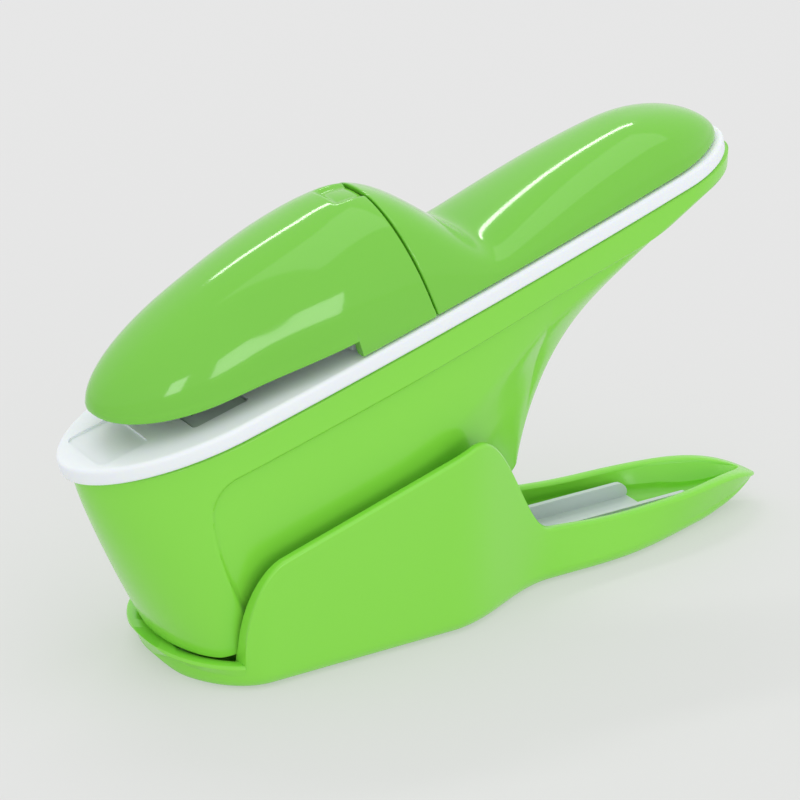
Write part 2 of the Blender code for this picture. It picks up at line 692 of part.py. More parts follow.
def make_lever():
    """Squeeze lever: toe, wings and boat-shaped tail as one moulding."""
    lever = walled_shell("squeeze_lever", lever_grid(False, 24), lever_grid(True, 24), "body_green")
    for x in CHANNEL_SCREWS_X:
        cut(lever, turned("hole", (x, 0.0, 0.8), (0, 0, 1), [(0, 1.3), (4.0, 1.3)], "body_green", 12))
    return lever


def make_lever_channel():
    """Pressed channel on the lever's floor: two side plates, ears for the pivot and the roller."""
    base = LEVER_FLOOR + GAP
    floor_line = base + 1.2
    floor = [(-42.0, base), (38.0, base), (38.0, floor_line), (-42.0, floor_line)]
    channel = side_prism("lever_channel", floor, 4.2, "core_grey")
    near_end = [(36.5, base), (40.5, 4.9)] + arc((43.0, 5.2), 0.8, -20.0, 90.0, 4)
    far_end = [(37.0, base)] + arc((36.2, 4.2), 1.8, 0.0, 90.0, 5)
    for y, end in ((-3.8, near_end), (3.8, far_end)):
        cheek = [(-42.0, base)] + end
        cheek += [(18.4, 6.0), (16.8, floor_line + 0.5), (-12.0, floor_line + 0.5)]
        cheek += arc(ROLLER_CENTRE, 2.4, 0.0, 180.0, 8)
        cheek += [(-28.0, floor_line + 2.0), (-33.0, floor_line + 2.4)]
        cheek += arc(PIVOT, 2.9, 20.0, 180.0, 8)
        join(channel, side_prism("cheek", cheek, 0.4, "core_grey", centre_y=y))
    cut(channel, cross_pin("bore", *PIVOT, 12.0, 2.05, "core_grey"))
    cut(channel, cross_pin("bore", *ROLLER_CENTRE, 12.0, 1.25, "core_grey"))
    for x in CHANNEL_SCREWS_X:
        cut(channel, turned("hole", (x, 0.0, 0.0), (0, 0, 1), [(0, 1.5), (9.0, 1.5)], "core_grey", 12))
    return channel


def make_channel_screws():
    """The two screws that hold the channel to the lever."""
    made = []
    seat = LEVER_FLOOR + 2.0 * GAP + 1.2
    for name, x in zip(("channel_screw_front", "channel_screw_rear"), CHANNEL_SCREWS_X):
        steps = [(0.0, 1.0), (seat - 1.1, 1.0), (seat - 1.1, 2.2), (seat - 0.1, 1.9)]
        made.append(turned(name, (x, 0.0, 1.1), (0, 0, 1), steps, "pin_steel", 16))
    return made


def make_lever_pins():
    """Main pivot pin, push roller and its pin."""
    pivot = cross_pin("main_pivot_pin", *PIVOT, 7.7, 2.0, "pin_steel")
    pin = cross_pin("roller_pin", *ROLLER_CENTRE, 4.4, 1.2, "pin_steel", 16)
    roller = cross_pin("push_roller", *ROLLER_CENTRE, 3.0, ROLLER_RADIUS, "core_grey", 24)
    cut(roller, cross_pin("bore", *ROLLER_CENTRE, 6.0, 1.25, "core_grey", 16))
    return [pivot, pin, roller]


def make_return_spring():
    """Torsion spring round the main pivot, one leg on the channel floor and one up the frame."""
    radius, wire, pitch, steps = 3.1, 0.55, 1.2, 51
    x0, z0 = PIVOT
    points = [Vector((x0 + 11.0, -2.6, z0 - 3.6))]
    for i in range(steps + 1):
        turn = math.radians(-90.0 - 30.0 * i)
        y = -2.6 + pitch * 30.0 * i / 360.0
        points.append(Vector((x0 + radius * math.cos(turn), y, z0 + radius * math.sin(turn))))
    points.append(points[-1] + Vector((-5.4, 0.0, 11.5)))
    line = bpy.data.curves.new("return_spring", "CURVE")
    line.dimensions = "3D"
    line.bevel_depth = wire * MM
    line.bevel_resolution = 1
    line.use_fill_caps = True
    spline = line.splines.new("POLY")
    spline.points.add(len(points) - 1)
    for point, place in zip(spline.points, points):
        point.co = (*(place * MM), 1.0)
    line.materials.append(material("pin_steel"))
    made = bpy.data.objects.new("return_spring", line)
    bpy.context.scene.collection.objects.link(made)
    return made


def make_housing_screws():
    """Two screws into the head core and one into the rear cover, heads under the plate."""
    made = []
    low = -DECK_THICKNESS - 2.0 * GAP - 1.6
    for name, y in (("core_screw_right", -CORE_SCREW[1]), ("core_screw_left", CORE_SCREW[1])):
        base = tuple(deck_to_world(CORE_SCREW[0], y, low - 1.4))
        steps = [(0.0, 2.0), (1.4, 2.3), (1.4, 1.0), (9.8, 1.0)]
        made.append(turned(name, base, deck_normal(), steps, "pin_steel", 16))
    base = tuple(deck_to_world(COVER_SCREW_S, 0.0, -DECK_THICKNESS - GAP - 1.4))
    steps = [(0.0, 2.0), (1.4, 2.3), (1.4, 1.0), (7.0, 1.0)]
    made.append(turned("rear_cover_screw", base, deck_normal(), steps, "pin_steel", 16))
    return made


# ---------------------------------------------------------------- assembly


def axis_empty(name, place, pieces, parent=None):
    """Empty on a joint axis; the pieces keep their place and hang from it."""
    made = bpy.data.objects.new(name, None)
    made.location = Vector(place) * MM
    bpy.context.scene.collection.objects.link(made)
    bpy.context.view_layer.update()
    if parent:
        world = made.matrix_world.copy()
        made.parent = parent
        made.matrix_parent_inverse = parent.matrix_world.inverted()
        made.matrix_world = world
    bpy.context.view_layer.update()
    for piece in pieces:
        piece.parent = made
        piece.matrix_parent_inverse = made.matrix_world.inverted()
    return made


def build():
    """Make every piece and hang the moving ones on their axes."""
    clear_scene()
    make_lever()
    make_lever_channel()
    make_channel_screws()
    make_lever_pins()
    make_return_spring()
    finger, tucker_pin = make_tucker()
    cover = make_head_cover()
    moving, posts = make_carriage()
    rocker, rocker_pin = make_rocker()
    fixed = [
        make_lower_housing(), make_table_plate(), make_punch_guide(), make_rear_cover(),
        make_head_core(), make_die_plate(), make_mechanism_frame(), make_cover_catch(), tucker_pin,
        rocker_pin,
    ]
    fixed += posts + make_housing_screws()
    housing = axis_empty("housing_axis", (PIVOT[0], 0.0, PIVOT[1]), fixed)
    punch_place = deck_to_world(PUNCH_S, 0.0, CARRIAGE_FOOT_H)
    axis_empty("carriage_slide", punch_place, moving, housing)
    axis_empty("rocker_axis", (ROCKER_PIVOT[0], 0.0, ROCKER_PIVOT[1]), [rocker], housing)
    axis_empty("tucker_axis", deck_to_world(TUCKER_PIVOT_SH[0], 0.0, TUCKER_PIVOT_SH[1]), [finger], housing)
    axis_empty("cover_slide", deck_to_world(HEAD_NOSE_S, 0.0, SLOT_HEIGHT), [cover], housing)


build()
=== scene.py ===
"""Looks of the hand-squeeze staple-free stapler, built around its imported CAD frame.

The covers, the plate, the hull-shaped housing and the squeeze lever are fine skins that stand for
their plain CAD solids. The mechanism keeps its CAD meshes and gets real finishes.

World axes: X from nose to tail, Y to the left, Z up from the table. Deck axes: s runs along the
plate from its nose and h stands square to it. Shape sizes are in millimetres.
"""

from __future__ import annotations

import logging
import math
from dataclasses import dataclass
from enum import Enum

import bmesh
import bpy
import numpy as np
from mathutils import Matrix, Vector


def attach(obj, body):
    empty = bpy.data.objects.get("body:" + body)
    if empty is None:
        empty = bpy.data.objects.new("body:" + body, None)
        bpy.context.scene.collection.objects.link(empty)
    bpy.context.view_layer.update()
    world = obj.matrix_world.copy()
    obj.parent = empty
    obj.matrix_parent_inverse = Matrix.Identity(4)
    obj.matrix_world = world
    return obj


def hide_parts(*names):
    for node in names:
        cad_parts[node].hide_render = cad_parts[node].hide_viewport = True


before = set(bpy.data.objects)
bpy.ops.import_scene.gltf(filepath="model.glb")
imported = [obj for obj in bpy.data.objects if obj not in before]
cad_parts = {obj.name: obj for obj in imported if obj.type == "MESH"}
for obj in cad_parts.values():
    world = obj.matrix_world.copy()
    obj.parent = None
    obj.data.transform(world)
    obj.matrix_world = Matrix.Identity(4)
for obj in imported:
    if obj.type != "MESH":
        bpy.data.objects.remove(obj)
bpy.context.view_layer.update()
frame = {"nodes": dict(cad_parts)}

LOG = logging.getLogger("stapler_looks")
MM = 0.001


class Body(Enum):
    """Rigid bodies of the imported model."""

    LEVER = "lever"
    HOUSING = "housing"
    CARRIAGE = "carriage"
    ROCKER = "rocker"
    TUCKER = "tucker"
    COVER = "cover"


class Slot(Enum):
    """Material slots of the record."""

    JAW_GREEN = "jaw_green"
    BODY_GREEN = "body_green"
    PLATE_WHITE = "plate_white"
    CORE_GREY = "core_grey"
    PRESSED_STEEL = "pressed_steel"
    TOOL_STEEL = "tool_steel"
    PIN_STEEL = "pin_steel"


# ---------------------------------------------------------------- shape formulas


def closing(share: np.ndarray, power: float) -> np.ndarray:
    """Width share of an outline that closes like a superellipse.

    Args:
        share: distance from the tip as a share of the rounded length.
        power: exponent, 2 for an ellipse.

    Returns:
        0 at share 0 and 1 from share 1: one minus (1 - share)^power, to the power 1 / power.
    """
    share = np.clip(share, 0.0, 1.0)
    return (1.0 - (1.0 - share) ** power) ** (1.0 / power)


def easing(share: np.ndarray) -> np.ndarray:
    """Smooth step from 0 to 1: three times the square of share less twice its cube."""
    share = np.clip(share, 0.0, 1.0)
    return share * share * (3.0 - 2.0 * share)


def softer_max(first: np.ndarray, second: np.ndarray, sharpness: float) -> np.ndarray:
    """Larger of two heights with a rounded change-over: the logarithm of summed exponentials."""
    return np.logaddexp(sharpness * first, sharpness * second) / sharpness


def end_spaced(low: float, high: float, count: int) -> np.ndarray:
    """Stations from low to high, closer together towards both ends by a cosine."""
    turn = np.linspace(0.0, math.pi, count + 1)
    return low + (high - low) * (1.0 - np.cos(turn)) / 2.0


def superellipse(power: np.ndarray | float, count: int) -> tuple[np.ndarray, np.ndarray]:
    """Half-turn of a superellipse from one side over the top to the other.

    Args:
        power: exponent, 2 for an ellipse and larger for squarer shoulders.
        count: number of steps.

    Returns:
        The sideways shares, 1 to -1, and the rise shares, 0 to 1 to 0.
    """
    turn = np.linspace(0.0, math.pi, count + 1)
    side = np.sign(np.cos(turn)) * np.abs(np.cos(turn)) ** (2.0 / power)
    return side, np.abs(np.sin(turn)) ** (2.0 / power)


@dataclass(frozen=True)
class Deck:
    """The tilted plate's axes and outline, which every upper piece is drawn in."""

    tilt: float = math.radians(15.3)
    nose_x: float = -57.2
    nose_z: float = 32.4
    length: float = 110.2
    thickness: float = 2.5
    half_width: float = 12.8
    nose_length: float = 21.4
    nose_power: float = 1.92
    tail_length: float = 11.0
    taper_loss: float = 5.2

    def to_world(self, s: np.ndarray, y: np.ndarray, h: np.ndarray) -> np.ndarray:
        """World millimetres of points given along, across and above the plate."""
        c, n = math.cos(self.tilt), math.sin(self.tilt)
        x = self.nose_x + s * c - h * n
        return np.stack(np.broadcast_arrays(x, y, self.nose_z + s * n + h * c), -1)

    def height_over(self, x: np.ndarray, h: float) -> np.ndarray:
        """World height, above a world x, of the plane h over the plate."""
        return self.nose_z + (x - self.nose_x) * math.tan(self.tilt) + h / math.cos(self.tilt)

    def taper(self, s: np.ndarray) -> np.ndarray:
        """Half-width without the rounded ends: it narrows with the square of the distance aft."""
        share = np.clip((s - self.nose_length) / (self.length - self.nose_length), 0.0, 1.0)
        return self.half_width - self.taper_loss * share**2

    def outline(self, s: np.ndarray, inset: float) -> np.ndarray:
        """Half-width of the outline drawn inset all round: the taper closed at both ends."""
        nose = closing((s - inset) / self.nose_length, self.nose_power)
        tail = closing((self.length - inset - s) / self.tail_length, 2.0)
        return (self.taper(s) - inset) * nose * tail


DECK = Deck()


# ---------------------------------------------------------------- mesh helpers


def link_mesh(name: str, points: np.ndarray, faces: list[tuple[int, ...]]) -> bpy.types.Object:
    """Object at the origin from millimetre points, smooth, with its faces turned outwards."""
    mesh = bpy.data.meshes.new(name)
    mesh.from_pydata((np.asarray(points) * MM).tolist(), [], faces)
    work = bmesh.new()
    work.from_mesh(mesh)
    bmesh.ops.remove_doubles(work, verts=work.verts, dist=2e-6)
    bmesh.ops.dissolve_degenerate(work, edges=work.edges, dist=1e-6)
    bmesh.ops.recalc_face_normals(work, faces=work.faces)
    work.to_mesh(mesh)
    work.free()
    mesh.shade_smooth()
    mesh.set_sharp_from_angle(angle=math.radians(50.0))
    made = bpy.data.objects.new(name, mesh)
    bpy.context.scene.collection.objects.link(made)
    return made


def looped_faces(rows: int, columns: int) -> list[tuple[int, ...]]:
    """Quads of a grid whose rows are closed loops."""
    j = np.arange(columns)
    k = (j + 1) % columns
    made = []
    for i in range(rows - 1):
        a, b = i * columns, (i + 1) * columns
        made.extend(zip((a + j).tolist(), (a + k).tolist(), (b + k).tolist(), (b + j).tolist()))
    return made


def tube_of_loops(name: str, grid: np.ndarray, cap_first: bool, cap_last: bool) -> bpy.types.Object:
    """Skin through a stack of closed loops, each end capped by one face if asked."""
    rows, columns = grid.shape[:2]
    faces = looped_faces(rows, columns)
    if cap_first:
        faces.append(tuple(range(columns)))
    if cap_last:
        faces.append(tuple(range((rows - 1) * columns, rows * columns)))
    return link_mesh(name, grid.reshape(-1, 3), faces)


def shell_sections(outer: np.ndarray, inner: np.ndarray) -> np.ndarray:
    """Closed section loops of a thin wall: along the outer grid's row and back along the inner's."""
    return np.concatenate([outer, inner[:, ::-1]], axis=1)


def finish_piece(piece: bpy.types.Object, finish: bpy.types.Material, body: Body, slot: Slot,
                 *nodes: str) -> bpy.types.Object:
    """Give a skin its finish, its body and the CAD nodes it stands for."""
    piece.data.materials.clear()
    piece.data.materials.append(finish)
    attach(piece, body.value)
    if nodes:
        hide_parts(*nodes)
    return piece


# ---------------------------------------------------------------- finishes


def linear_from_hex(code: str) -> tuple[float, float, float, float]:
    """Linear RGBA of an sRGB hex code such as "#7FD03C"."""
    parts = [int(code[i:i + 2], 16) / 255.0 for i in (1, 3, 5)]
    made = [p / 12.92 if p <= 0.04045 else ((p + 0.055) / 1.055) ** 2.4 for p in parts]
    return (*made, 1.0)


def add_node(tree: bpy.types.NodeTree, kind: str, place: tuple[float, float],
             **inputs: object) -> bpy.types.Node:
    """Shader node of that kind, with constants set on its sockets by name."""
    made = tree.nodes.new(kind)
    made.location = place
    for name, value in inputs.items():
        made.inputs[name.replace("_", " ")].default_value = value
    return made


@dataclass(frozen=True)
class Finish:
    """Base of the object's finishes: a colour, its gloss and a fine surface grain."""

    name: str
    colour: str
    roughness: float
    metallic: float = 0.0
    coat: float = 0.0
    glow: float = 0.0            # share of light scattered under the surface
    grain_mm: float = 0.4        # size of the surface grain
    grain_depth: float = 0.05    # strength of the grain's relief
    wear: float = 0.03           # how far the roughness wanders from place to place
    wear_mm: float = 9.0         # size of those places

    def build(self) -> bpy.types.Material:
        """Principled material whose roughness and relief vary over the object."""
        made = bpy.data.materials.new(self.name)
        made.use_nodes = True
        tree = made.node_tree
        shader = tree.nodes["Principled BSDF"]
        shader.inputs["Base Color"].default_value = linear_from_hex(self.colour)
        shader.inputs["Metallic"].default_value = self.metallic
        shader.inputs["Coat Weight"].default_value = self.coat
        shader.inputs["Coat Roughness"].default_value = 0.04
        shader.inputs["Subsurface Weight"].default_value = self.glow
        shader.inputs["Subsurface Radius"].default_value = (0.8, 1.0, 0.3)
        shader.inputs["Subsurface Scale"].default_value = 0.0012
        place = add_node(tree, "ShaderNodeTexCoord", (-1000.0, 0.0))
        patches = add_node(tree, "ShaderNodeTexNoise", (-800.0, 0.0), Scale=1.0 / (self.wear_mm * MM),
                           Detail=3.0)
        spread = add_node(tree, "ShaderNodeMapRange", (-600.0, 0.0), To_Min=self.roughness - self.wear,
                          To_Max=self.roughness + self.wear)
        grain = add_node(tree, "ShaderNodeTexNoise", (-800.0, -300.0), Scale=1.0 / (self.grain_mm * MM),
                         Detail=2.0)
        relief = add_node(tree, "ShaderNodeBump", (-600.0, -300.0), Strength=self.grain_depth,
                          Distance=0.02 * MM)
        wire = tree.links.new
        wire(place.outputs["Object"], patches.inputs["Vector"])
        wire(place.outputs["Object"], grain.inputs["Vector"])
        wire(patches.outputs["Fac"], spread.inputs["Value"])
        wire(spread.outputs["Result"], shader.inputs["Roughness"])
        wire(grain.outputs["Fac"], relief.inputs["Height"])
        wire(relief.outputs["Normal"], shader.inputs["Normal"])
        return made


# Polished ABS: deep, even green under a hard gloss that mirrors the lamps sharply.
POLISHED_ABS = Finish("polished lime ABS", "#76C83A", 0.10, coat=0.35, glow=0.10, grain_depth=0.02)
# Semi-gloss ABS: brighter green with softer, wider highlights and a faint moulded grain.
SEMI_GLOSS_ABS = Finish("semi-gloss lime ABS", "#88DC44", 0.24, coat=0.15, glow=0.12)
# Satin ABS: cool white that reads milky at its edges.
SATIN_WHITE_ABS = Finish("satin white ABS", "#EFF4F9", 0.30, glow=0.15, grain_depth=0.03)
# Acetal: pale cool grey, waxy, with wide dull highlights.
GREY_ACETAL = Finish("pale grey acetal", "#C6D1D0", 0.42, glow=0.10, grain_mm=0.3)
# Zinc-plated sheet: cool grey with a brushed sheen and cloudy patches.
ZINC_SHEET = Finish("zinc-plated sheet", "#A3A8AB", 0.34, metallic=0.9, wear=0.08, wear_mm=4.0)
# Ground tool steel: darker and finer than the sheet.
TOOL_STEEL = Finish("ground tool steel", "#7C7F85", 0.26, metallic=1.0, grain_mm=0.15)
# Drawn wire and turned pins: bright and smooth.
BRIGHT_STEEL = Finish("bright drawn steel", "#B4B5B8", 0.18, metallic=1.0, grain_mm=0.2)


# ---------------------------------------------------------------- upper jaw


@dataclass
class UpperJaw:
    """Head cover and rear cover, the glossy shells over the plate."""

    finish: bpy.types.Material
    wall: float = 1.6
    gap: float = 0.3
    slot_height: float = 2.7
    flare: float = 2.4
    flare_length: float = 15.0
    throat_s: float = 41.0
    nose_s: float = 6.2
    crest_s: float = 47.5
    crest_h: float = 18.4
    bow_power: float = 1.7
    inset: float = 2.2
    fall_length: float = 23.0
    seam_s: float = 53.4
    seam_gap: float = 0.25
    lean: float = 0.1
    tail_s: float = 109.2
    tail_length: float = 12.2
    palm_h: float = 8.4
    palm_s: float = 94.0
    saddle_h: float = 3.2
    saddle_s: float = 58.0
    edge: float = 0.35
    lip: float = 1.0
    lip_proud: float = 0.13
    notch_s: float = 48.6
    notch_half_width: float = 3.2
    notch_depth: float = 0.7

    def rim(self, s: np.ndarray) -> np.ndarray:
        """Lower edge: flared up at the nose, level over the paper slot, down behind the throat."""
        return np.where(s < self.throat_s, self.slot_height + self.nose_flare(s), self.gap)

    def nose_flare(self, s: np.ndarray) -> np.ndarray:
        """How far the slot opens at the nose: one less an elliptical closing."""
        return self.flare * (1.0 - closing((s - self.nose_s) / self.flare_length, 2.0))

    def head_crest(self, s: np.ndarray) -> np.ndarray:
        """Ridge of the head: a superelliptical bow up to the crest, then an eased fall to the plate."""
        bow = closing((s - self.nose_s) / (self.crest_s - self.nose_s), self.bow_power)
        nose_h = self.slot_height + self.flare
        aft = np.clip(s - self.crest_s, 0.0, None) / self.fall_length
        return (nose_h + (self.crest_h - nose_h) * bow) * (1.0 - easing(aft**1.5))

    def palm_crest(self, s: np.ndarray) -> np.ndarray:
        """Ridge of the palm bulge: a quarter sine up to its crest."""
        share = np.clip((s - self.saddle_s) / (self.palm_s - self.saddle_s), 0.0, 1.0)
        return self.saddle_h + (self.palm_h - self.saddle_h) * np.sin(math.pi / 2.0 * share)

    def rear_crest(self, s: np.ndarray) -> np.ndarray:
        """Ridge aft of the seam: fall and bulge in one smooth line, closed round at the tail."""
        line = softer_max(self.head_crest(s), self.palm_crest(s), 0.8)
        return line * closing((self.tail_s - s) / (self.tail_s - self.palm_s), 1.9)

    def head_half_width(self, s: np.ndarray) -> np.ndarray:
        """Half-width of the head: set in over the slot, flush with the plate behind the throat."""
        flush = DECK.taper(s) - self.gap
        inset = self.inset * (1.0 - easing((s - 22.0) / 20.0))
        return (flush - inset) * closing((s - self.nose_s) / 19.0, 2.0)

    def rear_half_width(self, s: np.ndarray) -> np.ndarray:
        """Half-width of the rear cover: flush with the plate up to its rounded tail."""
        return (DECK.taper(s) - self.gap) * closing((self.tail_s - s) / self.tail_length, 2.0)

    def section(self, s: np.ndarray, half: np.ndarray, rim: np.ndarray, crest: np.ndarray,
                power: float, across: int) -> tuple[np.ndarray, np.ndarray, np.ndarray]:
        """Rows of points over a cover, each from the near rim over the ridge to the far rim.

        Args:
            s: stations.
            half: half-width at each station.
            rim: height of the lower edge.
            crest: height of the ridge.
            power: superellipse exponent of the cross-section.
            across: steps over a row.

        Returns:
            Deck s, y and h of the points.
        """
        side, lift = superellipse(power, across)
        y = -half[:, None] * side[None, :]
        h = rim[:, None] + (crest - rim)[:, None] * lift[None, :]
        return np.broadcast_to(s[:, None], y.shape), y, h

    def leaned(self, s: np.ndarray, y: np.ndarray, h: np.ndarray) -> np.ndarray:
        """World points, with the rows behind the throat leaning forward as they rise."""
        share = easing((s - self.throat_s) / 8.0)
        return DECK.to_world(s - self.lean * h * share, y, h)

    def spring_line(self, s: np.ndarray) -> np.ndarray:
        """Height the head's dome springs from: the slot's rim, easing down to the plate aft of it."""
        drop = easing((s - self.throat_s) / (self.seam_s - self.throat_s))
        return self.slot_height + self.nose_flare(s) + (self.gap - self.slot_height) * drop

    def with_rounded_rim(self, s: np.ndarray, half: np.ndarray, rim: np.ndarray, base: np.ndarray,
                         crest: np.ndarray, power: float,
                         across: int) -> tuple[np.ndarray, np.ndarray, np.ndarray]:
        """Section rows whose lower edges are rounded with a small radius.

        Args:
            s: stations.
            half: half-width at each station.
            rim: height of the lower edge.
            base: height the dome springs from, upright wall below it.
            crest: height of the ridge.
            power: superellipse exponent of the dome.
            across: steps over the dome.

        Returns:
            Deck s, y and h of the points.
        """
        edge = np.minimum(self.edge, 0.4 * half)
        sp, y, h = self.section(s, half, base + edge, np.maximum(crest, base + edge), power, across)
        turns = np.radians([15.0, 45.0, 75.0])
        low_y = half[:, None] - edge[:, None] * (1.0 - np.sin(turns))[None, :]
        low_h = rim[:, None] + edge[:, None] * (1.0 - np.cos(turns))[None, :]
        station = np.repeat(s[:, None], 3, axis=1)
        return (np.concatenate([station, sp, station], 1),
                np.concatenate([-low_y, y, low_y[:, ::-1]], 1),
                np.concatenate([low_h, h, low_h[:, ::-1]], 1))

    def head_stations(self, start: float, end: float) -> np.ndarray:
        """Stations of the head: dense at the nose, a sharp step at the throat, dense at the seam."""
        bow = start + (self.throat_s - 0.06 - start) * (1.0 - np.cos(np.linspace(0.0, math.pi / 2.0, 120)))
        aft = np.linspace(self.throat_s + 0.06, end - 0.4, 40)
        return np.concatenate([bow, aft, end - np.array([0.25, 0.12, 0.04, 0.0])])

    def head_cover(self) -> bpy.types.Object:
        """Bullet-shaped head with a beaded rim and a finger notch at the back of its crest."""
        across = 110
        s = self.head_stations(self.nose_s, self.seam_s)
        softened = 0.25 * (1.0 - np.sqrt(np.clip(1.0 - (1.0 - (self.seam_s - s) / 0.25) ** 2, 0.0, 1.0)))
        softened = np.where(self.seam_s - s < 0.25, softened, 0.0)
        half = self.head_half_width(s) - softened
        sp, y, h = self.with_rounded_rim(s, half, self.rim(s), self.spring_line(s),
                                         self.head_crest(s) - softened, 2.2, across)
        bead = self.lip_proud * (1.0 - easing((h - self.rim(s)[:, None] - self.lip) / 0.25))
        y = y + np.sign(y) * bead * np.clip(half[:, None] / 3.0, 0.0, 1.0)
        reach = easing((sp - self.notch_s) / 1.0) * easing((self.notch_half_width - np.abs(y)) / 1.2)
        h = h - self.notch_depth * reach * easing((h - 9.0) / 4.0)
        outer = self.leaned(sp, y, h)
        inner_s = self.head_stations(self.nose_s + self.wall, self.seam_s)
        width = np.clip(self.head_half_width(inner_s - self.wall * 0.8) - self.wall, 0.0, None)
        rim = self.rim(inner_s)
        crest = np.maximum(self.head_crest(inner_s - self.wall * 0.8) - self.wall, rim)
        inner = self.leaned(*self.section(inner_s, width, rim, crest, 2.2, across // 2))
        return tube_of_loops("head_cover_skin", shell_sections(outer, inner), False, True)

    def rear_cover(self) -> bpy.types.Object:
        """Saddle and palm bulge in one shell."""
        across = 110
        start = self.seam_s + self.seam_gap
        round_off = np.sin(np.linspace(0.02, math.pi / 2.0, 60))
        s = np.concatenate([start + np.array([0.0, 0.04, 0.12, 0.25]),
                            np.linspace(start + 0.4, self.palm_s, 110),
                            self.palm_s + (self.tail_s - self.palm_s) * round_off])
        ahead = np.clip((s - start) / 0.25, 0.0, 1.0)
        softened = 0.25 * (1.0 - np.sqrt(np.clip(1.0 - (1.0 - ahead) ** 2, 0.0, 1.0)))
        rim = np.full_like(s, self.gap)
        crest = np.maximum(self.rear_crest(s), rim) - softened
        outer = self.leaned(*self.with_rounded_rim(s, self.rear_half_width(s) - softened, rim, rim, crest,
                                                   2.3, across))
        inner_s = start + (s - start) * (1.0 - self.wall / (self.tail_s - start))
        width = np.clip(self.rear_half_width(inner_s + self.wall) - self.wall, 0.0, None)
        crest = np.maximum(self.rear_crest(inner_s + self.wall * 0.8) - self.wall, rim)
        inner = self.leaned(*self.section(inner_s, width, rim, crest, 2.3, across // 2))
        return tube_of_loops("rear_cover_skin", shell_sections(outer, inner), True, False)

    def build(self) -> None:
        """Make both covers and let them move with their bodies."""
        finish_piece(self.head_cover(), self.finish, Body.COVER, Slot.JAW_GREEN, "head_cover")
        finish_piece(self.rear_cover(), self.finish, Body.HOUSING, Slot.JAW_GREEN, "rear_cover")


# ---------------------------------------------------------------- table plate


@dataclass
class TablePlate:
    """White plate from nose to tail, with the punch opening and a shallow recess at the nose."""

    finish: bpy.types.Material
    edge: float = 0.6
    opening: tuple[float, float, float] = (16.6, 25.4, 7.6)
    recess: tuple[float, float, float] = (3.4, 11.0, 5.2)
    recess_depth: float = 0.35

    def ring(self, inset: float, h: float) -> np.ndarray:
        """Closed outline of the plate drawn inset all round, at height h."""
        s = end_spaced(inset, DECK.length - inset, 260)
        half = DECK.outline(s, inset)
        loop_s = np.concatenate([s, s[-2:0:-1]])
        loop_y = np.concatenate([-half, half[-2:0:-1]])
        return DECK.to_world(loop_s, loop_y, np.full_like(loop_s, h))

    def block(self, low_s: float, high_s: float, half: float, low_h: float, high_h: float,
              round_off: float) -> bpy.types.Object:
        """Cutter square to the plate, with rounded corners in plan."""
        corners = ((high_s, half, 0.0), (low_s, half, 90.0), (low_s, -half, 180.0), (high_s, -half, 270.0))
        plan = []
        for s, y, start in corners:
            for turn in np.radians(np.linspace(start, start + 90.0, 7)):
                centre_s = s - math.copysign(round_off, s - (low_s + high_s) / 2.0)
                centre_y = y - math.copysign(round_off, y)
                plan.append((centre_s + round_off * math.cos(turn), centre_y + round_off * math.sin(turn)))
        s, y = np.array(plan).T
        rows = np.stack([DECK.to_world(s, y, np.full_like(s, h)) for h in (low_h, high_h)])
        return tube_of_loops("cutter", rows, True, True)

    def cut(self, plate: bpy.types.Object, cutter: bpy.types.Object) -> None:
        """Take the cutter out of the plate."""
        step = plate.modifiers.new("cut", "BOOLEAN")
        step.operation = "DIFFERENCE"
        step.solver = "EXACT"
        step.object = cutter
        bpy.context.view_layer.update()
        done = bpy.data.meshes.new_from_object(plate.evaluated_get(bpy.context.evaluated_depsgraph_get()))
        plate.modifiers.remove(step)
        plate.data = done
        bpy.data.objects.remove(cutter, do_unlink=True)

    def build(self) -> None:
        """Make the plate with rounded edges, then cut its opening and recess."""
        turns = np.radians(np.linspace(0.0, 90.0, 6))
        rings = [(self.edge * (1.0 - math.sin(t)), -self.edge * (1.0 - math.cos(t))) for t in turns]
        lower = [(inset, -DECK.thickness - h) for inset, h in rings[::-1]]
        loops = np.stack([self.ring(inset, h) for inset, h in rings + lower])
        plate = tube_of_loops("table_plate_skin", loops, True, True)
        low_s, high_s, half = self.opening
        self.cut(plate, self.block(low_s, high_s, half, -4.0, 1.0, 0.6))
        low_s, high_s, half = self.recess
        self.cut(plate, self.block(low_s, high_s, half, -self.recess_depth, 1.0, 1.2))
        plate.data.shade_smooth()
        plate.data.set_sharp_from_angle(angle=math.radians(35.0))
        finish_piece(plate, self.finish, Body.HOUSING, Slot.PLATE_WHITE, "table_plate")


# ---------------------------------------------------------------- lower housing


